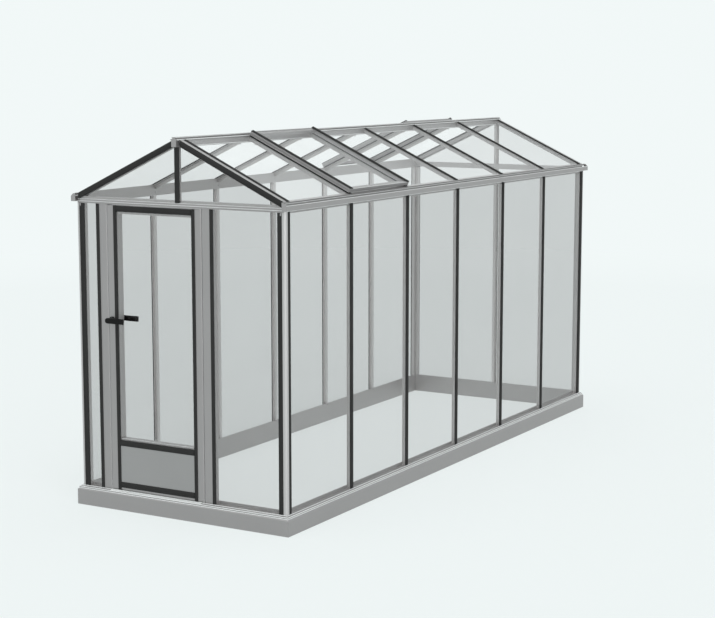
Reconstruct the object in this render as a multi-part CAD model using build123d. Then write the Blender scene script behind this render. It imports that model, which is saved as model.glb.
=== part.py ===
from build123d import *
import os
from math import cos, radians, sin, tan

# Free-standing glass greenhouse with an aluminium frame, a pitched glass roof,
# one hinged door in the front gable and a closed roof vent on each slope.
# X runs across the front, Y from front to back and Z up. The origin is the
# centre of the footprint, on the ground. All sizes are millimetres.

# Overall layout
bay_pitch = 740.0
side_bays = 6
gable_bays = 2
base_overhang = 65.0
roof_pitch = 25.0
frame_height = 1950.0
eave_rise = 10.0
eave_beam_drop = 6.0
roof_seat_rise = 45.0

# Base frame
fascia_height = 98.0
fascia_bevel = 8.0
sill_step = 10.0
sill_slope_rise = 8.0
upstand_rise = 20.0
upstand_thickness = 6.0

# Glazing build-up, from the outer crown of the strips inwards
crown_inset = 22.0
strip_height = 8.0
strip_width = 36.0
strip_edge = 2.5
narrow_strip_width = 24.0
glass_thickness = 4.0
glass_edge_gap = 7.0
bar_depth = 26.0
bar_flange_width = 34.0
bar_flange_thickness = 3.0
bar_stem_width = 8.0
bar_foot_width = 20.0

# Corner posts and gable rafters
corner_nose = 25.0
rebate_clearance = 2.0
gable_nose_drop = 6.0
gable_leg_depth = 46.0
roof_end_inset = 15.0

# Gutters and eave beams
gutter_width = 34.0
gutter_depth = 28.0
gutter_wall = 3.0
gutter_floor = 4.0
gutter_bevel = 2.0
gutter_cap_thickness = 3.0
gutter_cap_rise = 18.0
glass_stop_height = 8.0
glass_stop_thickness = 5.0

# Ridge beam
ridge_width = 36.0
ridge_depth = 60.0
ridge_cap_width = 28.0
ridge_cap_thickness = 4.0
ridge_neck_width = 18.0
ridge_flange = 8.0
ridge_flange_thickness = 4.0
ridge_seal_gap = 1.5
ridge_foot_width = 46.0
ridge_foot_thickness = 4.0

# Eave ties across the gables
tie_depth = 42.0
tie_ledge_rise = 27.0
tie_step_rise = 13.0
tie_step_depth = 6.0
tie_ledge_width = 8.0
tie_step_width = 3.0
tie_bevel = 2.0

# Door
door_centre = -185.0
door_frame_width = 722.0
door_gap = 6.0
door_depth = 56.0
door_stop_gap = 5.0
door_stop_width = 8.0
door_stop_thickness = 4.0
door_sill_gap = 6.0
stile_width = 74.0
stile_plate_width = 48.0
jamb_plate_width = 57.0
jamb_bevel = 2.0
top_rail_height = 52.0
mid_rail_height = 57.0
mid_rail_centre = 433.0
bottom_rail_height = 62.0
rail_strip_width = 37.0
bottom_strip_rise = 31.0
top_strip_drop = 20.0

# Door pivots and handle
pivot_inset = 8.0
pivot_radius = 5.0
pivot_clearance = 0.05
pivot_reach = 25.0
collar_radius = 7.5
handle_height = 1220.0
handle_setback = 25.0
handle_standoff = 43.0
lever_length = 122.0
lever_height = 34.0
lever_thickness = 14.0
lever_edge = 4.0
neck_radius = 11.0
rose_radius = 21.0
inner_rose_radius = 15.0
rose_thickness = 6.0
rose_clearance = 0.5
spindle_radius = 5.0

# Roof vents
vent_rail_width = 36.0
vent_rail_height = 22.0
vent_groove_height = 13.0
vent_groove_width = 4.0
vent_groove_depth = 5.0
vent_cross_width = 30.0
vent_lip_width = 3.0
vent_glass_overlap = 3.0
left_vent_after_bays = 4
right_vent_after_bays = 1

# Derived places
half_width = gable_bays * bay_pitch / 2
half_length = side_bays * bay_pitch / 2
base_x = half_width + base_overhang
base_y = half_length + base_overhang
crown_x = base_x - crown_inset
crown_y = base_y - crown_inset
glass_outer_x = crown_x - strip_height
glass_outer_y = crown_y - strip_height
glass_inner_x = glass_outer_x - glass_thickness
glass_inner_y = glass_outer_y - glass_thickness
bar_inner_x = glass_inner_x - bar_depth
bar_inner_y = glass_inner_y - bar_depth
glass_depth = strip_height + glass_thickness
slope = tan(radians(roof_pitch))
slope_cos = cos(radians(roof_pitch))
slope_sin = sin(radians(roof_pitch))
side_lines = [-half_length + bay_pitch * k for k in range(side_bays + 1)]
roof_strip_lines = [roof_end_inset - half_length, *side_lines[1:-1], half_length - roof_end_inset]
gable_lines = [-half_width + bay_pitch * k for k in range(gable_bays + 1)]
vent_length = (glass_inner_x - ridge_width / 2 - ridge_flange - 4 * rebate_clearance) / slope_cos
eave_height = frame_height + eave_rise
beam_foot = frame_height - eave_beam_drop
ridge_crown_height = (eave_height + roof_seat_rise + glass_inner_x * slope
                      + glass_depth / slope_cos)
ridge_height = ridge_crown_height
ridge_underside = ridge_height - ridge_depth
base_width = base_x - bar_inner_x + upstand_thickness
sill_height = fascia_height + fascia_bevel + sill_step + sill_slope_rise
upstand_height = sill_height + upstand_rise
tie_top = frame_height + tie_depth
tie_ledge = frame_height + tie_ledge_rise
tie_step = frame_height + tie_step_rise
door_bottom = sill_height + door_sill_gap
leaf_half = door_frame_width / 2 - door_gap / 2
leaf_top = frame_height - door_gap
leaf_front = -glass_outer_y
leaf_back = leaf_front + door_depth
bottom_strip_centre = door_bottom + bottom_strip_rise
top_strip_centre = leaf_top - top_strip_drop


def save(name, *solids):
    """Writes the solids of one sub-part as one STEP file."""
    shape = solids[0] if len(solids) == 1 else Compound(children=list(solids))
    export_step(shape, os.path.join("parts", name + ".step"))


def member(section, start, end, outward):
    """Carries a section, drawn as (across, outward), straight from start to end."""
    start = Vector(*start)
    end = Vector(*end)
    along = (end - start).normalized()
    across = Vector(*outward).cross(along)
    plane = Plane(origin=start, x_dir=across, z_dir=along)
    return extrude(plane * section, amount=(end - start).length, dir=along)


def outline(*points):
    """A closed flat outline through the points, always drawn anticlockwise."""
    following = points[1:] + points[:1]
    turning = sum(a[0] * b[1] - b[0] * a[1] for a, b in zip(points, following))
    return Polygon(*(points if turning > 0 else reversed(points)), align=None)


def arched(peak, *points):
    """A closed flat outline through the points, whose last side bows through a peak."""
    bow = ThreePointArc(points[-1], peak, points[0])
    return make_face(Polyline(*points).edges() + [bow])


def block(low, high):
    """A plain block between two opposite corners."""
    size = [high[i] - low[i] for i in range(3)]
    centre = [(high[i] + low[i]) / 2 for i in range(3)]
    return Pos(*centre) * Box(*size)


def upright(section, low, high):
    """Extrudes a plan outline, drawn in X and Y, between two heights."""
    return extrude(Pos(0, 0, low) * section, amount=high - low, dir=(0, 0, 1))


def roof_height(x, depth):
    """Height, x from the middle, of a plane a given depth under the roof's strip crowns."""
    return ridge_crown_height - x * slope - depth / slope_cos


def roof_point(side, x, y, depth):
    """A point on that plane, x out from the middle of the house to one side."""
    return (side * x, y, roof_height(x, depth))


def roof_normal(side):
    """The direction square to the roof slope."""
    return (side * slope_sin, 0, slope_cos)


# Sections of the extrusions

def strip_section(width):
    """Capping strip: a flat seat, two thin edges and a crown bowed from one to the other."""
    half = width / 2
    return arched((0, strip_height), (-half, strip_edge), (-half, 0), (half, 0),
                  (half, strip_edge))


def bar_section():
    """Glazing bar: a wide flange under the glass, a stem and a foot."""
    flange = bar_flange_width / 2
    stem = bar_stem_width / 2
    foot = bar_foot_width / 2
    under = -bar_flange_thickness
    step = -bar_depth + bar_flange_thickness
    return outline((-flange, 0), (-flange, under), (-stem, under), (-stem, step),
                   (-foot, step), (-foot, -bar_depth), (foot, -bar_depth), (foot, step),
                   (stem, step), (stem, under), (flange, under), (flange, 0))


def pane_section(width):
    """One pane of glass, seen on its end."""
    half = width / 2
    return outline((-half, 0), (half, 0), (half, glass_thickness), (-half, glass_thickness))


# Base frame

def base_section():
    """Base extrusion as (inwards distance, height), with fascia, sill and upstand."""
    upstand = base_width - upstand_thickness
    ledge = fascia_height + fascia_bevel
    return [(0, 0), (base_width, 0), (base_width, upstand_height), (upstand, upstand_height),
            (upstand, sill_height), (crown_inset, sill_height),
            (fascia_bevel, ledge + sill_step), (fascia_bevel, ledge), (0, fascia_height)]


def base_rail(across):
    """One rail of the base, cut to a mitre at both ends."""
    reach_x, reach_y = (base_x, base_y)
    if across:
        points = [(-reach_y + w, z) for w, z in base_section()]
        rail = extrude(Plane.YZ * outline(*points), amount=reach_x, both=True)
        plan = outline((-reach_x, -reach_y), (reach_x, -reach_y),
                       (reach_x - base_width, -reach_y + base_width),
                       (-reach_x + base_width, -reach_y + base_width))
    else:
        points = [(reach_x - w, z) for w, z in base_section()]
        rail = extrude(Plane.XZ * outline(*points), amount=reach_y, both=True)
        plan = outline((reach_x, -reach_y), (reach_x, reach_y),
                       (reach_x - base_width, reach_y - base_width),
                       (reach_x - base_width, -reach_y + base_width))
    return rail & upright(plan, 0, upstand_height)


def make_base():
    front = base_rail(True)
    side = base_rail(False)
    reach = (door_frame_width + door_gap) / 2 + jamb_plate_width + narrow_strip_width
    doorway = block((door_centre - reach, -glass_inner_y, sill_height),
                    (door_centre + reach, base_width - base_y, upstand_height))
    save("base_front_rail", front - doorway)
    save("base_back_rail", mirror(front, Plane.XZ))
    save("base_right_rail", side)
    save("base_left_rail", mirror(side, Plane.YZ))


# Corner posts and glazing bars

def corner_post():
    """The back right corner post: two legs behind the glass and a nose with a round corner."""
    leg_x = half_width - strip_width / 2
    leg_y = half_length - strip_width / 2
    rebate_x = half_width - glass_edge_gap + rebate_clearance
    rebate_y = half_length - glass_edge_gap + rebate_clearance
    nose_x = crown_x - corner_nose
    nose_y = crown_y - corner_nose
    bow = corner_nose * cos(radians(45))
    plan = arched((nose_x + bow, nose_y + bow), (crown_x, nose_y), (glass_outer_x, nose_y),
                  (glass_outer_x, rebate_y), (glass_inner_x, rebate_y), (glass_inner_x, leg_y),
                  (bar_inner_x, leg_y), (bar_inner_x, bar_inner_y), (leg_x, bar_inner_y),
                  (leg_x, glass_inner_y), (rebate_x, glass_inner_y), (rebate_x, glass_outer_y),
                  (nose_x, glass_outer_y), (nose_x, crown_y))
    post = upright(plan, sill_height, eave_height)
    under_tie = block((0, 0, frame_height), (glass_inner_x, crown_y, eave_height))
    under_beam = block((0, 0, beam_foot), (glass_inner_x, glass_inner_y, eave_height))
    return post - under_tie - under_beam


def wall_bar(x, y, outward, top):
    return member(bar_section(), (x, y, sill_height), (x, y, top), outward)


def make_posts_and_bars():
    post = corner_post()
    back_left = mirror(post, Plane.YZ)
    save("corner_posts", post, back_left, mirror(post, Plane.XZ), mirror(back_left, Plane.XZ))
    right = [wall_bar(glass_inner_x, y, (1, 0, 0), beam_foot) for y in side_lines[1:-1]]
    save("right_wall_bars", *right)
    save("left_wall_bars", *[mirror(bar, Plane.YZ) for bar in right])
    back = [wall_bar(x, glass_inner_y, (0, 1, 0), frame_height) for x in gable_lines[1:-1]]
    save("back_wall_bar", *back)


# Door jambs

def jamb():
    """The right jamb: a flat plate, a box behind it, a leg behind the glass and a stop."""
    seam = door_frame_width / 2 + door_gap / 2
    plate_end = seam + jamb_plate_width
    leg_end = plate_end + narrow_strip_width
    rebate = plate_end + rebate_clearance
    stop_front = leaf_back + door_stop_gap
    stop_back = stop_front + door_stop_thickness
    stop_edge = seam - door_stop_width
    plan = outline((seam, leaf_front + jamb_bevel), (seam + jamb_bevel, leaf_front),
                   (rebate, leaf_front), (rebate, -glass_inner_y), (leg_end, -glass_inner_y),
                   (leg_end, -bar_inner_y), (plate_end, -bar_inner_y), (plate_end, stop_back),
                   (stop_edge, stop_back), (stop_edge, stop_front), (seam, stop_front))
    return upright(plan, sill_height, frame_height)


def make_jambs():
    right = jamb()
    left = mirror(right, Plane.YZ)
    save("door_jambs", Pos(door_centre, 0, 0) * right, Pos(door_centre, 0, 0) * left)


# Eaves, ties and ridge

def gutter_cap():
    """The plate that closes the back end of the right gutter, drawn in X and Z."""
    lip = glass_inner_x + gutter_width
    lip_top = eave_height + gutter_floor + gutter_depth
    top = lip_top + gutter_cap_rise
    plate = outline((glass_inner_x, eave_height), (lip, eave_height), (lip, lip_top),
                    (lip - gutter_cap_rise, top), (glass_inner_x, top))
    cap = extrude(Plane.XZ * plate, amount=gutter_cap_thickness, dir=(0, -1, 0))
    return Pos(0, base_y, 0) * cap


def gutter():
    """The right eave beam and gutter, drawn in X and Z and run the length of the house."""
    lip = glass_inner_x + gutter_width
    seat_end = glass_inner_x - rebate_clearance
    stop_x = seat_end + glass_stop_height * slope_sin
    stop_z = roof_height(seat_end, glass_depth) + glass_stop_height * slope_cos
    edge_x = stop_x + glass_stop_thickness * slope_cos
    edge_z = stop_z - glass_stop_thickness * slope_sin
    wall_z = edge_z - (edge_x - glass_inner_x) / slope
    floor_top = eave_height + gutter_floor
    lip_top = floor_top + gutter_depth
    profile = outline((bar_inner_x, beam_foot), (glass_inner_x, beam_foot),
                      (glass_inner_x, eave_height), (lip - gutter_bevel, eave_height),
                      (lip, eave_height + gutter_bevel), (lip, lip_top),
                      (lip - gutter_wall, lip_top), (lip - gutter_wall, floor_top),
                      (glass_inner_x, floor_top), (glass_inner_x, wall_z), (edge_x, edge_z),
                      (stop_x, stop_z), (seat_end, roof_height(seat_end, glass_depth)),
                      (bar_inner_x, roof_height(bar_inner_x, glass_depth)))
    run = extrude(Plane.XZ * profile, amount=base_y, both=True)
    gable_room = block((0, glass_inner_y, floor_top), (glass_inner_x, base_y, 2 * lip_top))
    wall_room = block((0, glass_inner_y, 0), (glass_inner_x, base_y, floor_top))
    for room in (gable_room, wall_room):
        run = run - room - mirror(room, Plane.XZ)
    cap = gutter_cap()
    return run + cap + mirror(cap, Plane.XZ)


def tie():
    """The front eave tie, drawn in Y and Z, with a ledge and a rib on its outer side."""
    ledge = -glass_inner_y - tie_ledge_width
    step = ledge - tie_step_width
    body = outline((-bar_inner_y, frame_height), (-bar_inner_y, tie_top),
                   (-glass_inner_y, tie_top), (-glass_inner_y, frame_height))
    shelf = outline((-glass_inner_y, frame_height), (-glass_inner_y, tie_ledge),
                    (ledge + tie_bevel, tie_ledge), (ledge, tie_ledge - tie_bevel),
                    (ledge, tie_step), (step + tie_bevel, tie_step),
                    (step, tie_step - tie_bevel), (step, tie_step - tie_step_depth),
                    (ledge, tie_step - tie_step_depth), (ledge, frame_height))
    return (extrude(Plane.YZ * body, amount=bar_inner_x, both=True)
            + extrude(Plane.YZ * shelf, amount=glass_inner_x, both=True))


def ridge():
    """The ridge beam: a body between the rafters, flanges over the glass, a cap and a foot."""
    body = ridge_width / 2
    flange = body + ridge_flange
    neck = ridge_neck_width / 2
    cap = ridge_cap_width / 2
    foot = ridge_foot_width / 2
    cap_under = ridge_height - ridge_cap_thickness
    cover = roof_height(body, strip_height) + ridge_seal_gap
    cover_edge = cover - ridge_flange * slope
    rise = cover_edge + ridge_flange_thickness
    shoulder = rise + (flange - neck) * slope
    half = [(body, ridge_underside), (body, cover), (flange, cover_edge), (flange, rise),
            (neck, shoulder), (neck, cap_under), (cap, cap_under), (cap, ridge_height)]
    beam = outline(*half, *[(-x, z) for x, z in reversed(half)])
    plate = outline((-foot, ridge_underside), (foot, ridge_underside),
                    (foot, ridge_underside + ridge_foot_thickness),
                    (-foot, ridge_underside + ridge_foot_thickness))
    return (extrude(Plane.XZ * beam, amount=base_y, both=True)
            + extrude(Plane.XZ * plate, amount=bar_inner_y - rebate_clearance, both=True))


def make_eaves_and_ridge():
    right = gutter()
    save("right_gutter", right)
    save("left_gutter", mirror(right, Plane.YZ))
    front = tie()
    save("front_eave_tie", front)
    save("back_eave_tie", mirror(front, Plane.XZ))
    save("ridge_beam", ridge())


# Roof bars, gable rafters and king posts

def slope_member(section, side, y, depth, low, high):
    """Runs a section down one slope and keeps what lies between two upright corners."""
    spare = 2 * bar_depth
    run = member(section, roof_point(side, low[0] - spare, y, depth),
                 roof_point(side, high[0] + spare, y, depth), roof_normal(side))
    room = block((low[0], -base_y, low[1]), (high[0], base_y, high[1]))
    return run & (room if side > 0 else mirror(room, Plane.YZ))


def gable_rafter():
    """The back right rafter: a deep leg behind the gable glass and a nose over its edge."""
    leg_y = half_length - strip_width / 2
    rebate_y = half_length - glass_edge_gap + rebate_clearance
    nose_y = roof_strip_lines[-1] + strip_width / 2
    nose_top = strip_edge - strip_height
    seat = -glass_depth
    flange = seat - bar_depth
    pane_top = glass_edge_gap - gable_nose_drop - strip_width
    leg = outline((leg_y, seat), (glass_inner_y, seat), (glass_inner_y, -gable_leg_depth),
                  (bar_inner_y, -gable_leg_depth), (bar_inner_y, flange), (leg_y, flange))
    nose = outline((rebate_y, seat), (glass_inner_y, seat), (glass_inner_y, pane_top),
                   (glass_outer_y, pane_top), (glass_outer_y, nose_top), (nose_y, nose_top),
                   (nose_y, -strip_height), (rebate_y, -strip_height))
    outer = glass_inner_x - 3 * rebate_clearance
    inner = ridge_width / 2 + ridge_flange + rebate_clearance / 2
    leg_run = slope_member(leg, 1, 0, 0, (ridge_width / 2, tie_top), (bar_inner_x, ridge_height))
    nose_run = slope_member(nose, 1, 0, 0, (inner, tie_ledge), (outer, ridge_height))
    return leg_run + nose_run


def king_post():
    """The back king post, from the eave tie to the underside of the ridge beam."""
    return member(bar_section(), (0, glass_inner_y, tie_top), (0, glass_inner_y, ridge_underside),
                  (0, 1, 0))


def make_roof_bars():
    low = (ridge_width / 2, 0)
    high = (bar_inner_x, ridge_height)
    for side, name in ((1, "right"), (-1, "left")):
        bars = [slope_member(bar_section(), side, y, glass_depth, low, high)
                for y in side_lines[1:-1]]
        save(name + "_roof_bars", *bars)
    rafters = [gable_rafter()]
    rafters.append(mirror(rafters[0], Plane.YZ))
    save("gable_rafters", *rafters, *[mirror(rafter, Plane.XZ) for rafter in rafters])
    post = king_post()
    save("gable_king_posts", post, mirror(post, Plane.XZ))


# Glass

def side_pane(k):
    y = (side_lines[k] + side_lines[k + 1]) / 2
    section = pane_section(bay_pitch - 2 * glass_edge_gap)
    return member(section, (glass_inner_x, y, sill_height), (glass_inner_x, y, eave_height),
                  (1, 0, 0))


def gable_wall_pane(left, right):
    """A pane of the front wall between two edges."""
    section = pane_section(right - left)
    x = (left + right) / 2
    return member(section, (x, -glass_inner_y, sill_height), (x, -glass_inner_y, frame_height),
                  (0, -1, 0))


def gable_triangle():
    """The back right gable pane, under the rafter and beside the king post."""
    top = gable_nose_drop + strip_width - glass_edge_gap + rebate_clearance
    inner = glass_edge_gap
    outer = (roof_height(0, top) - tie_ledge) / slope
    head = ridge_underside - rebate_clearance
    under_ridge = (roof_height(0, top) - head) / slope
    points = [(inner, tie_ledge), (outer, tie_ledge), (under_ridge, head), (inner, head)]
    pane = extrude(Plane.XZ * outline(*points), amount=glass_thickness, dir=(0, 1, 0))
    return Pos(0, glass_inner_y, 0) * pane


def roof_pane(side, k):
    y = (side_lines[k] + side_lines[k + 1]) / 2
    section = pane_section(bay_pitch - 2 * glass_edge_gap)
    start = roof_point(side, ridge_width / 2 + rebate_clearance, y, glass_depth)
    end = roof_point(side, glass_inner_x - 2 * rebate_clearance, y, glass_depth)
    return member(section, start, end, roof_normal(side))


def make_glass():
    right = [side_pane(k) for k in range(side_bays)]
    save("right_wall_glass", *right)
    save("left_wall_glass", *[mirror(pane, Plane.YZ) for pane in right])
    edges = [x + glass_edge_gap for x in gable_lines[:-1]]
    back = [gable_wall_pane(x, x + bay_pitch - 2 * glass_edge_gap) for x in edges]
    save("back_wall_glass", *[mirror(pane, Plane.XZ) for pane in back])
    jamb_edge = (door_frame_width + door_gap) / 2 + jamb_plate_width + 2 * rebate_clearance
    corner_edge = half_width - glass_edge_gap
    save("front_wall_glass", gable_wall_pane(-corner_edge, door_centre - jamb_edge),
         gable_wall_pane(door_centre + jamb_edge, corner_edge))
    triangle = gable_triangle()
    pair = [triangle, mirror(triangle, Plane.YZ)]
    save("back_gable_glass", *pair)
    save("front_gable_glass", *[mirror(pane, Plane.XZ) for pane in pair])
    slopes = ((1, "right", right_vent_after_bays), (-1, "left", left_vent_after_bays))
    for side, name, vent_bay in slopes:
        bays = [k for k in range(side_bays) if k != vent_bay]
        save(name + "_roof_glass", *[roof_pane(side, k) for k in bays])


# Capping strips

def wall_strip(x, y, outward, top, width):
    return member(strip_section(width), (x, y, sill_height), (x, y, top), outward)


def gable_strip():
    """The strip on the outer face of the back right gable rafter."""
    middle = gable_nose_drop + strip_width / 2
    inner = ridge_width / 2 + ridge_flange + rebate_clearance / 2
    outer = glass_inner_x - 3 * rebate_clearance
    run = member(strip_section(strip_width), roof_point(1, -strip_width, glass_outer_y, middle),
                 roof_point(1, crown_x, glass_outer_y, middle), (0, 1, 0))
    return run & block((inner, glass_outer_y, tie_ledge),
                       (outer, crown_y, ridge_height))


def king_strip():
    """The strip on the back king post, up to the underside of the ridge beam."""
    return member(strip_section(strip_width), (0, glass_outer_y, tie_ledge),
                  (0, glass_outer_y, ridge_underside), (0, 1, 0))


def roof_strip(side, y):
    """A strip down one slope, from the ridge flange to just short of the glass stop."""
    start = roof_point(side, ridge_width / 2 + ridge_flange + rebate_clearance, y, strip_height)
    end = roof_point(side, glass_inner_x - 3 * rebate_clearance, y, strip_height)
    return member(strip_section(strip_width), start, end, roof_normal(side))


def make_strips():
    right = [wall_strip(glass_outer_x, y, (1, 0, 0), eave_height, strip_width)
             for y in side_lines]
    save("right_wall_strips", *right)
    save("left_wall_strips", *[mirror(strip, Plane.YZ) for strip in right])
    back = [wall_strip(x, glass_outer_y, (0, 1, 0), frame_height, strip_width)
            for x in gable_lines]
    save("back_wall_strips", *back)
    jamb_line = (door_frame_width + door_gap + narrow_strip_width) / 2 + jamb_plate_width
    corners = [wall_strip(x, -glass_outer_y, (0, -1, 0), frame_height, strip_width)
               for x in (gable_lines[0], gable_lines[-1])]
    jambs = [wall_strip(door_centre + sign * jamb_line, -glass_outer_y, (0, -1, 0), frame_height,
                        narrow_strip_width) for sign in (-1, 1)]
    save("front_wall_strips", *corners, *jambs)
    gable = gable_strip()
    back_gable = [gable, mirror(gable, Plane.YZ), king_strip()]
    save("gable_strips", *back_gable, *[mirror(strip, Plane.XZ) for strip in back_gable])
    for side, name in ((1, "right"), (-1, "left")):
        save(name + "_roof_strips", *[roof_strip(side, y) for y in roof_strip_lines])


# Roof vents

def vent_member(section, side, y, lift, start, length):
    """Runs a section down one slope, lifted off the roof strips, from near the ridge."""
    foot = ridge_width / 2 + ridge_flange + rebate_clearance + start * slope_cos
    rise = Vector(*roof_normal(side)) * lift
    first = Vector(*roof_point(side, foot, y, 0)) + rise
    last = Vector(*roof_point(side, foot + length * slope_cos, y, 0)) + rise
    return member(section, first, last, roof_normal(side))


def vent_side_rail(side, y, inward):
    """A side rail of a vent: a lip just outside the edge of its glass, a groove each side."""
    half = vent_rail_width / 2
    edge = -vent_glass_overlap - rebate_clearance
    top = vent_rail_height + glass_thickness
    points = [(-half, 0), (half, 0), (half, vent_rail_height), (edge, vent_rail_height),
              (edge, top), (-half, top)]
    section = outline(*[(side * inward * across, h) for across, h in points])
    groove = Rectangle(2 * vent_groove_depth, vent_groove_width)
    for across in (-half, half):
        section = section - Pos(across, vent_groove_height) * groove
    return vent_member(section, side, y, 0, 0, vent_length)


def vent_cross_rails_of(side, bay):
    """The head and foot rails of a vent, between its side rails, each with a glass stop."""
    half = (bay_pitch - vent_rail_width) / 2
    y = (side_lines[bay] + side_lines[bay + 1]) / 2
    top = vent_rail_height + glass_thickness
    bed = outline((-half, 0), (half, 0), (half, vent_rail_height), (-half, vent_rail_height))
    stop = outline((-half, 0), (half, 0), (half, top), (-half, top))
    head = (vent_member(bed, side, y, 0, 0, vent_cross_width)
            + vent_member(stop, side, y, 0, 0, vent_lip_width))
    foot = (vent_member(bed, side, y, 0, vent_length - vent_cross_width, vent_cross_width)
            + vent_member(stop, side, y, 0, vent_length - vent_lip_width, vent_lip_width))
    return [head, foot]


def vent_pane(side, bay):
    y = (side_lines[bay] + side_lines[bay + 1]) / 2
    section = pane_section(bay_pitch + 2 * vent_glass_overlap)
    start = vent_lip_width + rebate_clearance
    return vent_member(section, side, y, vent_rail_height, start, vent_length - 2 * start)


def vent_strip(side, y):
    lift = vent_rail_height + glass_thickness
    return vent_member(strip_section(strip_width), side, y, lift, 0, vent_length)


def make_vents():
    side_rails = []
    cross_rails = []
    panes = []
    strips = []
    for side, bay in ((1, right_vent_after_bays), (-1, left_vent_after_bays)):
        for y, inward in ((side_lines[bay], 1), (side_lines[bay + 1], -1)):
            side_rails.append(vent_side_rail(side, y, inward))
            strips.append(vent_strip(side, y))
        cross_rails += vent_cross_rails_of(side, bay)
        panes.append(vent_pane(side, bay))
    save("vent_side_rails", *side_rails)
    save("vent_cross_rails", *cross_rails)
    save("vent_glass", *panes)
    save("vent_strips", *strips)


# Door leaf, drawn about its own middle and moved to its place

def stile(hinge_side):
    """The right stile of the leaf. The hinge side has a round edge and two pivot holes."""
    inner = leaf_half - stile_width
    rebate = leaf_half - stile_plate_width - rebate_clearance
    plan = outline((leaf_half, leaf_front), (rebate, leaf_front), (rebate, -glass_inner_y),
                   (inner, -glass_inner_y), (inner, leaf_back), (leaf_half, leaf_back))
    body = upright(plan, door_bottom, leaf_top)
    corner = body.edges().filter_by(Axis.Z).group_by(Axis.X)[-1].sort_by(Axis.Y)[0]
    radius = pivot_inset if hinge_side else jamb_bevel
    body = fillet([corner], radius)
    if hinge_side:
        hole = Cylinder(pivot_radius + pivot_clearance, 2 * pivot_reach)
        place = (leaf_half - pivot_inset, leaf_front + pivot_inset)
        body = body - Pos(*place, door_bottom) * hole - Pos(*place, leaf_top) * hole
    return body


def rail(bottom, top, land_low, land_high):
    """A rail between the stiles, with a raised land that the panes stop against."""
    inner = leaf_half - stile_width
    body = block((-inner, -glass_inner_y, bottom), (inner, leaf_back, top))
    land = block((-inner, leaf_front, land_low), (inner, -glass_inner_y, land_high))
    return body + land


def make_door():
    place = Pos(door_centre, 0, 0)
    hinge_stile = stile(True)
    lock_stile = mirror(stile(False), Plane.YZ)
    bore = Pos(handle_setback - leaf_half, (leaf_front + leaf_back) / 2, handle_height)
    bore = bore * Rot(90, 0, 0) * Cylinder(spindle_radius + pivot_clearance, 2 * door_depth)
    lock_stile = lock_stile - bore
    save("door_stiles", place * hinge_stile, place * lock_stile)

    mid_low = mid_rail_centre - mid_rail_height / 2
    mid_high = mid_rail_centre + mid_rail_height / 2
    top_low = leaf_top - top_rail_height
    bottom_high = door_bottom + bottom_rail_height
    land = glass_edge_gap - rebate_clearance
    top_rail = rail(top_low, leaf_top, top_strip_centre - land, leaf_top)
    mid_rail = rail(mid_low, mid_high, mid_rail_centre - land, mid_rail_centre + land)
    bottom_rail = rail(door_bottom, bottom_high, door_bottom, bottom_strip_centre)
    save("door_rails", place * top_rail, place * mid_rail, place * bottom_rail)

    edge = leaf_half - stile_plate_width - 2 * rebate_clearance
    glass = block((-edge, leaf_front, mid_rail_centre + glass_edge_gap),
                  (edge, -glass_inner_y, top_strip_centre - glass_edge_gap))
    panel = block((-edge, leaf_front, bottom_strip_centre + rebate_clearance),
                  (edge, -glass_inner_y, mid_rail_centre - glass_edge_gap))
    save("door_glass", place * glass)
    save("door_kick_panel", place * panel)

    line = leaf_half - stile_plate_width - narrow_strip_width / 2
    reach = line - narrow_strip_width / 2
    uprights = [member(strip_section(narrow_strip_width), (sign * line, leaf_front, door_bottom),
                       (sign * line, leaf_front, leaf_top), (0, -1, 0)) for sign in (-1, 1)]
    levels = (bottom_strip_centre, mid_rail_centre, top_strip_centre)
    across = [member(strip_section(rail_strip_width), (-reach, leaf_front, z),
                     (reach, leaf_front, z), (0, -1, 0)) for z in levels]
    save("door_strips", *[place * strip for strip in uprights + across])


def make_pivot_pins():
    """The pins the leaf turns on, standing on the sill and hanging from the eave tie."""
    x = door_centre + leaf_half - pivot_inset
    y = leaf_front + pivot_inset
    foot = (Align.CENTER, Align.CENTER, Align.MIN)
    reach = pivot_reach - rebate_clearance
    low_gap = door_bottom - sill_height
    low_pin = Pos(x, y, sill_height) * (
        Cylinder(pivot_radius, low_gap + reach, align=foot)
        + Cylinder(collar_radius, low_gap - pivot_clearance, align=foot))
    high_pin = Pos(x, y, leaf_top - reach) * Cylinder(pivot_radius, door_gap + reach, align=foot)
    save("door_pivot_pins", low_pin, high_pin)


# Door handle

def lever():
    """A lever: a flat bar with one round end, its back on the plane through the origin."""
    radius = lever_height / 2
    bar = Pos(lever_length / 2, 0) * Rectangle(lever_length, lever_height) + Circle(radius)
    plate = extrude(Plane.XZ * bar, amount=lever_thickness, dir=(0, -1, 0))
    return fillet(plate.edges().group_by(Axis.Y)[0], lever_edge)


def rod(radius, front, back):
    """A round bar along Y between two planes."""
    return Pos(0, (front + back) / 2, 0) * Rot(90, 0, 0) * Cylinder(radius, back - front)


def make_handle():
    front_lever = leaf_front - handle_standoff
    back_lever = leaf_back + handle_standoff
    handle = Pos(0, front_lever, 0) * lever()
    handle = handle + Pos(0, back_lever, 0) * mirror(lever(), Plane.XZ)
    handle = handle + rod(neck_radius, front_lever, leaf_front - rose_clearance)
    handle = handle + rod(neck_radius, leaf_back + rose_clearance, back_lever)
    handle = handle + rod(spindle_radius, front_lever, back_lever)
    place = Pos(door_centre - leaf_half + handle_setback, 0, handle_height)
    save("door_handle", place * handle)

    outer_rose = rod(rose_radius, leaf_front - rose_thickness, leaf_front)
    inner_rose = rod(inner_rose_radius, leaf_back, leaf_back + rose_thickness)
    hole = rod(neck_radius + rose_clearance, front_lever, back_lever)
    save("door_handle_roses", place * (outer_rose - hole), place * (inner_rose - hole))


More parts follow.
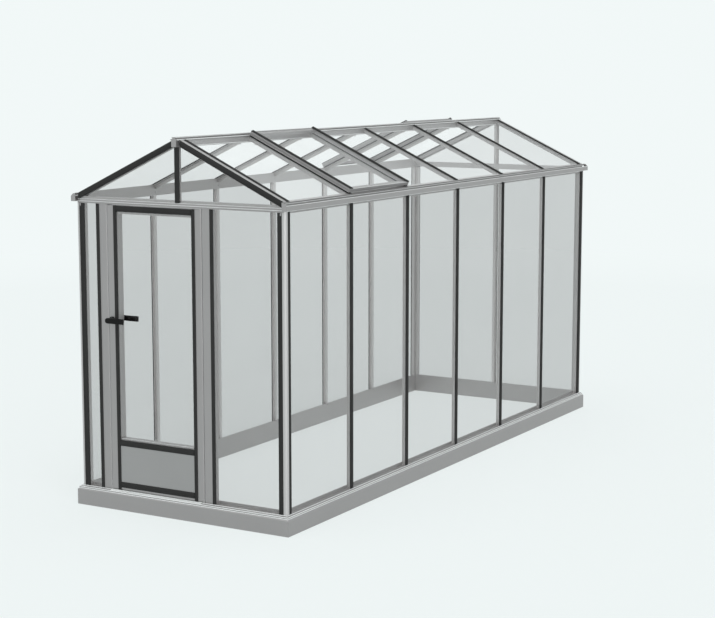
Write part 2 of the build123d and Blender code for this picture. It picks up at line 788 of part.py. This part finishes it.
os.makedirs("parts", exist_ok=True)
make_base()
make_posts_and_bars()
make_jambs()
make_eaves_and_ridge()
make_roof_bars()
make_glass()
make_strips()
make_vents()
make_door()
make_pivot_pins()
make_handle()
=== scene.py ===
import math

import bpy
import numpy as np
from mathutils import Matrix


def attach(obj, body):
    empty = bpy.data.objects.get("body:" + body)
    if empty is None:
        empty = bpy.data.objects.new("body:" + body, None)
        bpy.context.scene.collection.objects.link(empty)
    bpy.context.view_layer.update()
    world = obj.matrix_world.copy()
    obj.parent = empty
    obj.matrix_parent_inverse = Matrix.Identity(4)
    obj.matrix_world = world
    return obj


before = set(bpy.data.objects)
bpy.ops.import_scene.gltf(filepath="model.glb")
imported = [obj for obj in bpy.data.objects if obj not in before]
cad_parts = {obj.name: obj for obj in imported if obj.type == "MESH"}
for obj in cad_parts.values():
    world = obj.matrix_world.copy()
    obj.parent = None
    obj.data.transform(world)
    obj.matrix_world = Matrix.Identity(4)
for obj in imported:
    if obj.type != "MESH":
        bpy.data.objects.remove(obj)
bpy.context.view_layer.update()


# Camera
# A long lens a little above the roof looks across the front right corner, so that
# the front gable and the right wall are both seen at a slant.
TILT_DOWN = 8.17
TURN_LEFT = 30.05

camera_data = bpy.data.cameras.new("greenhouse_view")
camera_data.sensor_width = 36.0
camera_data.lens = 85.82
camera_data.clip_end = 400.0
camera = bpy.data.objects.new("greenhouse_view", camera_data)
camera.location = (6.141, -10.680, 2.814)
camera.rotation_euler = (math.radians(90.0 - TILT_DOWN), 0.0, math.radians(TURN_LEFT))
bpy.context.scene.collection.objects.link(camera)
bpy.context.scene.camera = camera
bpy.context.scene.view_settings.view_transform = "Standard"


# Studio lamps
# A wide lamp overhead gives the ledges their light, one low on the right faces
# the corner post, and two weak ones fill the front gable and the right wall.
def sun(name, toward, strength, spread):
    """A distant lamp; toward is the direction in which it stands, spread its width in degrees."""
    data = bpy.data.lights.new(name, "SUN")
    data.energy = strength
    data.angle = math.radians(spread)
    lamp = bpy.data.objects.new(name, data)
    x, y, z = toward
    lamp.rotation_euler = (math.atan2(math.hypot(x, y), z), 0.0, math.atan2(x, -y))
    bpy.context.scene.collection.objects.link(lamp)


sun("overhead_lamp", (0.05, -0.05, 1.0), strength=1.15, spread=60.0)
sun("wall_lamp", (0.60, -0.50, 0.62), strength=0.30, spread=30.0)
sun("corner_lamp", (0.84, -0.53, 0.12), strength=1.1, spread=40.0)
sun("gable_lamp", (-0.45, -0.75, 0.50), strength=0.2, spread=50.0)


# Pale surround
# The sky is one even pale grey where it is seen directly, in metal or through
# glass. A dimmer light from it falls on the greenhouse.
PALE = (0.885, 0.938, 0.936)
SKY_LIGHT = (0.97, 0.985, 1.0)
SKY_STRENGTH = 0.55


def larger(tree, first, second):
    """The larger of two values. Of two kinds of ray it picks out those of either kind."""
    node = tree.nodes.new("ShaderNodeMath")
    node.operation = "MAXIMUM"
    tree.links.new(first, node.inputs[0])
    tree.links.new(second, node.inputs[1])
    return node.outputs[0]


def end_in_mix(tree, share, base, top, output):
    """Ends a tree in two shaders, with the given share of the top one over the base."""
    mix = tree.nodes.new("ShaderNodeMixShader")
    tree.links.new(share, mix.inputs[0])
    tree.links.new(base.outputs[0], mix.inputs[1])
    tree.links.new(top.outputs[0], mix.inputs[2])
    tree.links.new(mix.outputs[0], output.inputs[0])


world = bpy.data.worlds.new("pale_surround")
world.use_nodes = True
bpy.context.scene.world = world
tree = world.node_tree
tree.nodes.clear()
seen = tree.nodes.new("ShaderNodeBackground")
seen.inputs["Color"].default_value = (*PALE, 1.0)
light = tree.nodes.new("ShaderNodeBackground")
light.inputs["Color"].default_value = (*SKY_LIGHT, 1.0)
light.inputs["Strength"].default_value = SKY_STRENGTH
ray = tree.nodes.new("ShaderNodeLightPath").outputs
looked_at = larger(tree, ray["Is Camera Ray"], ray["Is Transmission Ray"])
looked_at = larger(tree, looked_at, ray["Is Glossy Ray"])
end_in_mix(tree, looked_at, light, seen, tree.nodes.new("ShaderNodeOutputWorld"))


# Ground
# A pale matt floor keeps the soft shadow of the greenhouse near it and fades
# into the surround further off.
GROUND_TONE = (0.78, 0.83, 0.82)
GROUND_REACH = 90
NEAR_GLOW = 0.7
FADE_FROM, FADE_TO = 3.0, 14.0


def new_material(name):
    """An empty node material; returns the material, its tree and its output."""
    material = bpy.data.materials.new(name)
    material.use_nodes = True
    tree = material.node_tree
    tree.nodes.clear()
    output = tree.nodes.new("ShaderNodeOutputMaterial")
    return material, tree, output


material, tree, output = new_material("pale_ground")
matt = tree.nodes.new("ShaderNodeBsdfDiffuse")
matt.inputs["Color"].default_value = (*GROUND_TONE, 1.0)
glow = tree.nodes.new("ShaderNodeEmission")
glow.inputs["Color"].default_value = (*PALE, 1.0)
place = tree.nodes.new("ShaderNodeTexCoord")
reach = tree.nodes.new("ShaderNodeVectorMath")
reach.operation = "LENGTH"
tree.links.new(place.outputs["Object"], reach.inputs[0])
fade = tree.nodes.new("ShaderNodeMapRange")
fade.inputs["From Min"].default_value = FADE_FROM
fade.inputs["From Max"].default_value = FADE_TO
fade.interpolation_type = "SMOOTHSTEP"
tree.links.new(reach.outputs["Value"], fade.inputs["Value"])
ray = tree.nodes.new("ShaderNodeLightPath").outputs
near = tree.nodes.new("ShaderNodeMath")
near.operation = "MULTIPLY"
near.inputs[1].default_value = NEAR_GLOW
tree.links.new(larger(tree, ray["Is Camera Ray"], ray["Is Glossy Ray"]), near.inputs[0])
end_in_mix(tree, larger(tree, near.outputs[0], fade.outputs[0]), matt, glow, output)

corners = GROUND_REACH * np.array([(-1, -1, 0), (1, -1, 0), (1, 1, 0), (-1, 1, 0)])
mesh = bpy.data.meshes.new("ground")
mesh.from_pydata(corners.tolist(), [], [(0, 1, 2, 3)])
mesh.materials.append(material)
ground = bpy.data.objects.new("ground", mesh)
bpy.context.scene.collection.objects.link(ground)


# Base frame
# Four deep aluminium rails, pressed through a die and mitred at the corners,
# stand on the ground. Their inner faces, inside the glass, are painted a lighter tone:
# painted light that makes up for the shade inside the greenhouse.
DULL = (0.342, 0.332, 0.332)
# Painted light: a lighter copy of the metal's tone for inner faces, against the shade inside the
# glass. Corner posts and rafters wear it on their outer faces as well.
LIFTED_TONE = (0.486, 0.476, 0.474)
# Painted highlight: near-white metal on thin beads along edges, standing in for the light that
# the edges catch.
PAINTED_HIGHLIGHT = (0.88, 0.89, 0.885)
GLASS_LINES = (0.7715, 2.2515)  # from the middle to the panes, across and along the house
DIE_LINES = 900.0               # fineness of the die lines, across them and along them
DIE_LINES_ALONG = 3.0
BEAD_FACETS = 10
SILL_EDGES = [                  # reach across, reach along, height and bead radius
    (0.7965, 2.2765, 0.1062, 0.0021),
    (0.7960, 2.2760, 0.1162, 0.0021),
    (0.7835, 2.2635, 0.1242, 0.0019),
]


def noise(tree, vector, scale, detail):
    """Cloudy noise between 0 and 1, read at a vector."""
    node = tree.nodes.new("ShaderNodeTexNoise")
    node.inputs["Scale"].default_value = scale
    node.inputs["Detail"].default_value = detail
    tree.links.new(vector, node.inputs["Vector"])
    return node.outputs["Fac"]


def between(tree, share, low, high):
    """A number that runs from low to high as the share runs from 0 to 1."""
    node = tree.nodes.new("ShaderNodeMapRange")
    node.inputs["To Min"].default_value = low
    node.inputs["To Max"].default_value = high
    tree.links.new(share, node.inputs["Value"])
    return node.outputs[0]


def clouded(tree, share, tone, low, high):
    """A tone times a number that runs from low to high as the share runs from 0 to 1."""
    node = tree.nodes.new("ShaderNodeMixRGB")
    node.inputs["Color1"].default_value = (*[c * low for c in tone], 1.0)
    node.inputs["Color2"].default_value = (*[min(1.0, c * high) for c in tone], 1.0)
    tree.links.new(share, node.inputs["Fac"])
    return node.outputs["Color"]


def fine_bump(tree, height, strength):
    """The normal of a surface that a pattern raises by 0.2 mm at most."""
    node = tree.nodes.new("ShaderNodeBump")
    node.inputs["Strength"].default_value = strength
    node.inputs["Distance"].default_value = 0.0002
    tree.links.new(height, node.inputs["Height"])
    return node.outputs["Normal"]


def aluminium(name, outside, inside, along, roughness=0.42):
    """Satin metal with fine die lines along one axis, in an outer and an inner tone.

    A point counts as inside where its distance from the middle is less than that of the
    glass, both across and along the house. A lighter inner tone is painted light that makes
    up for the shade inside the greenhouse. Cloudy noise moves either tone by 4 percent,
    and the die lines move the roughness.
    """
    material, tree, output = new_material(name)
    new = tree.nodes.new
    link = tree.links.new
    place = new("ShaderNodeTexCoord").outputs["Object"]
    clouds = noise(tree, place, scale=2.5, detail=3.0)
    stretch = new("ShaderNodeMapping")
    stretch.inputs["Scale"].default_value = [DIE_LINES_ALONG if axis == along else DIE_LINES
                                             for axis in "xyz"]
    link(place, stretch.inputs["Vector"])
    lines = noise(tree, stretch.outputs["Vector"], scale=1.0, detail=2.0)

    reach = new("ShaderNodeVectorMath")
    reach.operation = "ABSOLUTE"
    axes = new("ShaderNodeSeparateXYZ")
    inner_share = new("ShaderNodeMath")
    inner_share.operation = "MINIMUM"
    link(place, reach.inputs[0])
    link(reach.outputs["Vector"], axes.inputs[0])
    for k, glass_line in enumerate(GLASS_LINES):
        within = new("ShaderNodeMapRange")
        within.inputs["From Min"].default_value = glass_line + 0.001
        within.inputs["From Max"].default_value = glass_line
        link(axes.outputs[k], within.inputs["Value"])
        link(within.outputs[0], inner_share.inputs[k])
    tone = new("ShaderNodeMixRGB")
    link(inner_share.outputs[0], tone.inputs["Fac"])
    link(clouded(tree, clouds, outside, 0.96, 1.04), tone.inputs["Color1"])
    link(clouded(tree, clouds, inside, 0.96, 1.04), tone.inputs["Color2"])

    surface = new("ShaderNodeBsdfPrincipled")
    surface.inputs["Metallic"].default_value = 0.75
    surface.inputs["Specular IOR Level"].default_value = 0.5
    link(tone.outputs["Color"], surface.inputs["Base Color"])
    link(between(tree, lines, roughness - 0.05, roughness + 0.06), surface.inputs["Roughness"])
    link(fine_bump(tree, lines, strength=0.04), surface.inputs["Normal"])
    link(surface.outputs[0], output.inputs[0])
    return material


def finish(material, *names):
    """Gives CAD nodes a material in place of their plain one."""
    for name in names:
        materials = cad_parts[name].data.materials
        for k in range(len(materials)):
            materials[k] = material


def piece(name, stacks, material, body, closed=False):
    """Joins stacks of rings into one piece that rides on a body.

    Each stack is an array of rings of points. Quads join a ring to the next and, where the
    stack is closed, the last to the first; otherwise both ends are capped. Where the volume
    that the faces enclose comes out negative, they are turned round to point outwards.
    """
    points = []
    faces = []
    first = 0
    for rings in stacks:
        count, around = rings.shape[:2]
        index = np.arange(count * around).reshape(count, around)
        here = index if closed else index[:-1]
        ahead = np.roll(index, -1, axis=0) if closed else index[1:]
        quads = np.stack([here, np.roll(here, -1, axis=1), np.roll(ahead, -1, axis=1), ahead],
                         axis=-1).reshape(-1, 4)
        caps = [] if closed else [index[0][::-1], index[-1]]
        flat = rings.reshape(-1, 3)
        corner = flat[quads] - flat.mean(axis=0)
        volume = np.sum(corner[:, 0] * np.cross(corner[:, 1], corner[:, 2])
                        + corner[:, 0] * np.cross(corner[:, 2], corner[:, 3]))
        turn = -1 if volume < 0 else 1
        faces += [(face[::turn] + first).tolist() for face in [*quads, *caps]]
        points.append(flat)
        first += len(flat)
    mesh = bpy.data.meshes.new(name)
    mesh.from_pydata(np.concatenate(points).tolist(), [], faces)
    mesh.materials.append(material)
    made = bpy.data.objects.new(name, mesh)
    bpy.context.scene.collection.objects.link(made)
    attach(made, body)


def bead_round(reach_x, reach_y, height, radius):
    """A thin round bead carried round a rectangle with mitred corners.

    A point at angle a of the round lies radius times cos a further out than the rectangle,
    along both sides of the corner, and radius times sin a above it.
    """
    angle = np.arange(BEAD_FACETS) * 2 * np.pi / BEAD_FACETS
    out = radius * np.cos(angle)
    corner = np.array([(1, -1), (1, 1), (-1, 1), (-1, -1)])
    x = corner[:, :1] * (reach_x + out)
    y = corner[:, 1:] * (reach_y + out)
    z = np.broadcast_to(height + radius * np.sin(angle), x.shape)
    return np.stack([x, y, z], axis=-1)


finish(aluminium("base_across", DULL, LIFTED_TONE, "x"), "base_front_rail", "base_back_rail")
finish(aluminium("base_lengthways", DULL, LIFTED_TONE, "y"), "base_left_rail", "base_right_rail")
# Near-white metal for the thin beads: painted highlights along the edges of the sill, ties,
# gutters, ridge, vents and door rail.
highlight_metal = aluminium("painted_highlight_metal", PAINTED_HIGHLIGHT, PAINTED_HIGHLIGHT, "y", roughness=0.5)
piece("base_sill_beads", [bead_round(*edge) for edge in SILL_EDGES],
      highlight_metal, "greenhouse", closed=True)


# Posts, bars and rafters
# Glazing bars, corner posts, rafters and king posts are bare aluminium sections,
# bolted through their feet to the base, the eave beams and the ridge.
# Painted light: the inner tones of the posts and rafters and the tones of the wall and roof bars,
# seen through the glass, are lighter copies of the metal's tone that make up for the shade inside
# the greenhouse.
POST_INSIDE_LIFTED = (0.545, 0.535, 0.53)
RAFTER_INSIDE_LIFTED = (0.42, 0.41, 0.41)
WALL_BAR_LIFTED = (0.67, 0.66, 0.655)
ROOF_BAR = (0.49, 0.48, 0.475)

finish(aluminium("corner_posts_metal", LIFTED_TONE, POST_INSIDE_LIFTED, "z"), "corner_posts",
       "gable_king_posts")
finish(aluminium("rafter_metal", LIFTED_TONE, RAFTER_INSIDE_LIFTED, "x"), "gable_rafters")
finish(aluminium("wall_bars", WALL_BAR_LIFTED, WALL_BAR_LIFTED, "z"), "left_wall_bars", "right_wall_bars",
       "back_wall_bar")
finish(aluminium("roof_bars", ROOF_BAR, ROOF_BAR, "x"), "left_roof_bars", "right_roof_bars")


# Eave ties, gutters and ridge
# The eave ties cross the gables over the door, the gutters run along both eaves,
# and the ridge beam joins the slopes. Thin near-white beads and strips along their edges are
# painted highlights.
TIE_HALF = 0.770
TIE_BEAD = 0.0013
TIE_EDGES = [(2.2580, 1.9763), (2.2610, 1.9625)]  # place along the house and height
GUTTER_EDGES = [                # place across, height, bead radius and half length
    (0.8039, 1.9610, 0.0011, 2.2845),
    (0.8028, 1.9920, 0.0021, 2.2845),
    (0.7768, 2.0022, 0.0016, 2.2815),
]
# Two flat near-white strips in the gutters, painted highlight lines.
STOP_NEAR, STOP_FAR, STOP_HALF = 0.7722, 0.7768, 2.2815
STOP_LOW, STOP_TOP = 2.0016, 2.0028
RIDGE_EDGES = [
    (0.0126, 2.3756, 0.0018, 2.2845),
    (0.0250, 2.3622, 0.0020, 2.2845),
    (0.0222, 2.3226, 0.0020, 2.2210),
]


def bead_run(start, end, radius):
    """A thin round bead run straight between two points: a ring round each of them."""
    start, end = np.array(start), np.array(end)
    along = (end - start) / np.linalg.norm(end - start)
    first = np.cross(along, (0.0, 0.0, 1.0))
    first = first / np.linalg.norm(first)
    second = np.cross(along, first)
    angle = np.arange(BEAD_FACETS)[:, None] * 2 * np.pi / BEAD_FACETS
    ring = radius * (np.cos(angle) * first + np.sin(angle) * second)
    return np.stack([start + ring, end + ring])


def bead_runs_along(edges):
    """Beads along the house, one on each edge and one on its mirrored edge."""
    return [bead_run((side * x, -half, z), (side * x, half, z), radius)
            for x, z, radius, half in edges for side in (-1, 1)]


def flat_run(low, high):
    """A plain straight strip between two corners: a box of two square rings."""
    (x0, y0, z0), (x1, y1, z1) = low, high
    ring = np.array([(x0, y0), (x1, y0), (x1, y1), (x0, y1)])
    rise = np.array([z0, z1])[:, None]
    return np.stack([np.broadcast_to(ring[:, 0], (2, 4)), np.broadcast_to(ring[:, 1], (2, 4)),
                     np.broadcast_to(rise, (2, 4))], axis=-1)


finish(aluminium("ties_across", DULL, LIFTED_TONE, "x"), "front_eave_tie", "back_eave_tie")
finish(aluminium("eaves_lengthways", DULL, LIFTED_TONE, "y"), "left_gutter", "right_gutter")
finish(aluminium("ridge_lengthways", DULL, DULL, "y"), "ridge_beam")
piece("eave_tie_beads",
      [bead_run((-TIE_HALF, side * y, z), (TIE_HALF, side * y, z), TIE_BEAD)
       for y, z in TIE_EDGES for side in (-1, 1)],
      highlight_metal, "greenhouse")
piece("gutter_beads",
      bead_runs_along(GUTTER_EDGES)
      + [flat_run((-STOP_FAR, -STOP_HALF, STOP_LOW), (-STOP_NEAR, STOP_HALF, STOP_TOP)),
         flat_run((STOP_NEAR, -STOP_HALF, STOP_LOW), (STOP_FAR, STOP_HALF, STOP_TOP))],
      highlight_metal, "greenhouse")
piece("ridge_beads", bead_runs_along(RIDGE_EDGES), highlight_metal, "greenhouse")


# Corner clips
# A small folded clip of plain sheet over the upper end of each corner strip
# keeps it from sliding down, hooked under the eave tie.
CLIP_MIDDLE = 0.7495
CLIP_WIDTH = 0.010
CLIP_THICKNESS = 0.0012
CLIP_FOLD = np.array([          # place along the house and height of the outer face
    (2.2612, 1.9315), (2.2632, 1.9335), (2.2632, 1.9470), (2.2610, 1.9492)])


def folded_clip(side, end):
    """A plate whose rings follow a folded line, each ring a flat box across it.

    The line runs up the outer half of the strip's crown and turns in at both ends.
    """
    across = CLIP_WIDTH * np.array([-0.5, 0.5, 0.5, -0.5])
    inwards = CLIP_THICKNESS * np.array([0.0, 0.0, 1.0, 1.0])
    x = side * (CLIP_MIDDLE + np.broadcast_to(across, (4, 4)))
    y = end * (CLIP_FOLD[:, :1] - inwards)
    z = np.broadcast_to(CLIP_FOLD[:, 1:], (4, 4))
    return np.stack([x, y, z], axis=-1)


piece("strip_end_clips", [folded_clip(side, end) for side in (-1, 1) for end in (-1, 1)],
      aluminium("clip_sheet", DULL, DULL, "z", roughness=0.5), "greenhouse")


# Bolts and nuts
# Zinc-plated hexagon nuts on the ends of short bolts fix the feet of the bars
# to the upstand of the base, to the eave beams and to the ridge foot.
ZINC = (0.55, 0.56, 0.56)
NUT = [(0.0052, -0.0004), (0.0058, 0.0004), (0.0058, 0.0040), (0.0050, 0.0048)]
BOLT_END = [(0.0029, 0.0040), (0.0029, 0.0075), (0.0022, 0.0083)]
NUT_SIDES, BOLT_SIDES = 6, 10
BAY = 0.74
BAR_LINES = [-2 * BAY, -BAY, 0.0, BAY, 2 * BAY]
UPSTAND_FACE, UPSTAND_BOLTS = 0.739, 0.134  # inner face of the upstand, bolts' height
EAVE_FACE, EAVE_BOLTS = 0.745, 1.968
BACK_BAR_FACE = 2.219
POST_FOOT = 2.190
TIE_FACE, TIE_BOLTS = 2.225, 1.975
ROOF_BAR_ENDS = (0.060, 0.700)
ROOF_SLOPE = math.radians(25.0)
ROOF_CROWN = 2.3778             # height at which the crowns of both slopes would meet
ROOF_BUILD_UP = 0.038           # depth of a strip, its pane and its bar


def turned(centre, axis, profile, sides):
    """Rings round an axis: the profile gives each ring's radius and its height along it,
    and the ring's points lie at even angles round the axis."""
    axis = np.array(axis, float)
    axis = axis / np.linalg.norm(axis)
    first = np.cross(axis, (0.0, 1.0, 0.0) if abs(axis[1]) < 0.9 else (1.0, 0.0, 0.0))
    first = first / np.linalg.norm(first)
    second = np.cross(axis, first)
    angle = np.arange(sides)[:, None] * 2 * np.pi / sides
    around = np.cos(angle) * first + np.sin(angle) * second
    radius, height = np.array(profile).T
    return np.array(centre) + radius[:, None, None] * around + height[:, None, None] * axis


def bar_foot_on_roof(side, x, y):
    """A point on the inner face of a roof bar, x out from the middle, and the way in.

    Its height is that of the crowns' meeting line, less x times the tangent of the slope,
    less the build-up over the slope's cosine.
    """
    z = ROOF_CROWN - x * math.tan(ROOF_SLOPE) - ROOF_BUILD_UP / math.cos(ROOF_SLOPE)
    return (side * x, y, z), (-side * math.sin(ROOF_SLOPE), 0.0, -math.cos(ROOF_SLOPE))


fixings = [((0.0, BACK_BAR_FACE, UPSTAND_BOLTS), (0.0, -1.0, 0.0))]
fixings += [((0.0, end * TIE_FACE, TIE_BOLTS), (0.0, -end, 0.0)) for end in (-1, 1)]
for side in (-1, 1):
    inwards = (-side, 0.0, 0.0)
    fixings += [((side * UPSTAND_FACE, y, UPSTAND_BOLTS), inwards)
                for y in (*BAR_LINES, -POST_FOOT, POST_FOOT)]
    fixings += [((side * EAVE_FACE, y, EAVE_BOLTS), inwards) for y in BAR_LINES]
    fixings += [bar_foot_on_roof(side, x, y) for x in ROOF_BAR_ENDS for y in BAR_LINES]
piece("bar_nuts",
      [turned(centre, axis, NUT, NUT_SIDES) for centre, axis in fixings]
      + [turned(centre, axis, BOLT_END, BOLT_SIDES) for centre, axis in fixings],
      aluminium("zinc_plate", ZINC, ZINC, "z", roughness=0.34), "greenhouse")


# Glass
# Single panes of clear toughened glass lie against the bars under the strips. They
# darken what is behind them a little. The roof panes carry a pale veil, a painted
# reflection of the sky.
GLASS_SHADE = (0.020, 0.017, 0.017)
# Painted reflection: a near-white tone laid over the roof panes in place of the sky's reflection.
PAINTED_SKY_REFLECTION = (0.92, 0.94, 0.94)


def pane_glass(name, tone, veil):
    """Clear glass whose veil hides a small share of what is behind it.

    Cloudy noise moves that share by up to 0.008.
    """
    material, tree, output = new_material(name)
    link = tree.links.new
    place = tree.nodes.new("ShaderNodeTexCoord").outputs["Object"]
    haze = noise(tree, place, scale=1.7, detail=3.0)
    surface = tree.nodes.new("ShaderNodeBsdfPrincipled")
    surface.inputs["Base Color"].default_value = (*tone, 1.0)
    surface.inputs["Roughness"].default_value = 0.03
    surface.inputs["IOR"].default_value = 1.5
    link(between(tree, haze, veil - 0.008, veil + 0.008), surface.inputs["Alpha"])
    link(surface.outputs[0], output.inputs[0])
    return material


finish(pane_glass("wall_glass", GLASS_SHADE, veil=0.115), "left_wall_glass",
       "right_wall_glass", "back_wall_glass", "front_wall_glass", "back_gable_glass",
       "door_glass")
finish(pane_glass("gable_glass", GLASS_SHADE, veil=0.080), "front_gable_glass")
finish(pane_glass("roof_glass", PAINTED_SKY_REFLECTION, veil=0.075), "left_roof_glass",
       "right_roof_glass", "vent_glass")


# Capping strips
# Black rigid plastic strips snap over the bars and press the panes down. Their
# surface is finely matt.
STRIP_BLACK = (0.0285, 0.0285, 0.028)


def matt_plastic(name, tone, roughness):
    """Fine-grained matt plastic or rubber, whose tone runs from 0.85 to 1.2 times its own."""
    material, tree, output = new_material(name)
    link = tree.links.new
    place = tree.nodes.new("ShaderNodeTexCoord").outputs["Object"]
    grain = noise(tree, place, scale=600.0, detail=2.0)
    clouds = noise(tree, place, scale=6.0, detail=2.0)
    surface = tree.nodes.new("ShaderNodeBsdfPrincipled")
    surface.inputs["Specular IOR Level"].default_value = 0.12
    link(clouded(tree, clouds, tone, 0.85, 1.2), surface.inputs["Base Color"])
    link(between(tree, grain, roughness - 0.06, roughness + 0.06), surface.inputs["Roughness"])
    link(fine_bump(tree, grain, strength=0.1), surface.inputs["Normal"])
    link(surface.outputs[0], output.inputs[0])
    return material


finish(matt_plastic("strip_plastic", STRIP_BLACK, roughness=0.75), "left_wall_strips",
       "right_wall_strips", "front_wall_strips", "back_wall_strips", "gable_strips",
       "left_roof_strips", "right_roof_strips", "vent_strips", "door_strips")


# Roof vents
# Each vent is a light aluminium frame over the roof strips with its own pane. A
# lip along its head and foot keeps the pane from sliding; its near-white bead is a
# painted highlight.
VENTS = ((1, -2 * BAY, -BAY), (-1, BAY, 2 * BAY))  # slope, and the bars on either side
VENT_HEAD, VENT_FOOT = 0.030, 0.767                # out from the middle of the house
VENT_LENGTH = (VENT_FOOT - VENT_HEAD) / math.cos(ROOF_SLOPE)
LIP_LIFT = 0.0258
LIP_MIDDLE = 0.0015
LIP_INSET = 0.021
LIP_BEAD = 0.0012


def vent_point(side, along, lift, y):
    """A point of a vent, a length down the slope from its head and lifted off the strips.

    The length moves it out by its cosine and down by its sine, and the lift moves it out
    by its sine and up by its cosine.
    """
    x = VENT_HEAD + along * math.cos(ROOF_SLOPE) + lift * math.sin(ROOF_SLOPE)
    z = (ROOF_CROWN - VENT_HEAD * math.tan(ROOF_SLOPE) - along * math.sin(ROOF_SLOPE)
         + lift * math.cos(ROOF_SLOPE))
    return (side * x, y, z)


finish(aluminium("vent_rails_across", DULL, DULL, "x"), "vent_side_rails")
finish(aluminium("vent_rails_lengthways", DULL, DULL, "y"), "vent_cross_rails")
piece("vent_lip_beads",
      [bead_run(vent_point(side, along, LIP_LIFT, low + LIP_INSET),
                vent_point(side, along, LIP_LIFT, high - LIP_INSET), LIP_BEAD)
       for side, low, high in VENTS for along in (LIP_MIDDLE, VENT_LENGTH - LIP_MIDDLE)],
      highlight_metal, "greenhouse")


# Doorway
# Two flat-faced aluminium jambs stand on the sill. A tread plate between them
# is folded down over its edge, and a grey rubber strip on each closes the seam. The
# plate's near-white tone is painted light that lifts the shadow of the door above it.
TREAD_LIFTED_TONE = (0.80, 0.81, 0.80)
TREAD_ENDS = (-0.5470, 0.1550)
TREAD_FOLD = np.array([         # place along the house and height, lower face first
    (-2.2400, 0.1241), (-2.2630, 0.1241), (-2.2765, 0.1164),
    (-2.2772, 0.1178), (-2.2632, 0.1257), (-2.2400, 0.1257)])
SEAL_TONE = (0.50, 0.51, 0.51)
SEALS = ((0.1768, 0.1789), (-0.5489, -0.5468))  # both faces of each, across the house
SEAL_FRONT, SEAL_BACK = -2.2520, -2.2455
SEAL_FOOT, SEAL_TOP = 0.127, 1.948

door_uprights = aluminium("door_uprights", DULL, LIFTED_TONE, "z")
finish(door_uprights, "door_jambs")
piece("door_threshold",
      [np.stack([np.column_stack([np.full(len(TREAD_FOLD), x), TREAD_FOLD])
                 for x in TREAD_ENDS])],
      aluminium("tread_plate", TREAD_LIFTED_TONE, TREAD_LIFTED_TONE, "x", roughness=0.5),
      "greenhouse")
piece("door_seam_seals",
      [flat_run((low, SEAL_FRONT, SEAL_FOOT), (high, SEAL_BACK, SEAL_TOP))
       for low, high in SEALS],
      matt_plastic("grey_rubber", SEAL_TONE, roughness=0.8), "greenhouse")


# Door
# The leaf is a frame of wide aluminium stiles and rails, with glass above and a
# sheet panel below. A near-white bead on the upper edge of the middle rail is a painted
# highlight.
PANEL_OUTSIDE = (0.340, 0.338, 0.337)
# Painted light: the panel's inner face is a lighter copy of its tone, against the shade inside
# the greenhouse.
PANEL_INSIDE_LIFTED = (0.400, 0.398, 0.397)
MID_RAIL_ENDS = (-0.4685, 0.0985)
MID_RAIL_FACE, MID_RAIL_TOP = -2.2490, 0.4618
MID_RAIL_BEAD = 0.0016

finish(door_uprights, "door_stiles")
finish(aluminium("door_rails_across", DULL, LIFTED_TONE, "x"), "door_rails")
finish(aluminium("kick_panel_sheet", PANEL_OUTSIDE, PANEL_INSIDE_LIFTED, "x", roughness=0.5),
       "door_kick_panel")
piece("door_mid_rail_bead",
      [bead_run(*[(x, MID_RAIL_FACE, MID_RAIL_TOP) for x in MID_RAIL_ENDS], MID_RAIL_BEAD)],
      highlight_metal, "door")


# Handle
# Two black moulded levers share a steel spindle through the lock stile, each
# over a round rose. Two small steel screws hold the outer rose.
HANDLE_BLACK = (0.006, 0.006, 0.006)
SCREW_TONE = (0.30, 0.30, 0.30)
SCREW = [(0.0027, -0.0003), (0.0027, 0.0003), (0.0020, 0.0006), (0.0011, 0.0002)]
ROSE_X, ROSE_FACE, ROSE_HEIGHT = -0.518, -2.261, 1.220
SCREW_RISE = 0.0165
SCREW_SIDES = 14

finish(matt_plastic("handle_plastic", HANDLE_BLACK, roughness=0.38), "door_handle",
       "door_handle_roses")
piece("rose_screws",
      [turned((ROSE_X, ROSE_FACE, ROSE_HEIGHT + rise), (0.0, -1.0, 0.0), SCREW, SCREW_SIDES)
       for rise in (-SCREW_RISE, SCREW_RISE)],
      aluminium("screw_steel", SCREW_TONE, SCREW_TONE, "y", roughness=0.35), "door")


# Pivot pins
# The leaf turns on two plain steel pins, one in the sill under its right stile
# and one in the eave tie above it.
PIN_STEEL = (0.5, 0.5, 0.5)

finish(aluminium("pin_steel", PIN_STEEL, PIN_STEEL, "z", roughness=0.3), "door_pivot_pins")
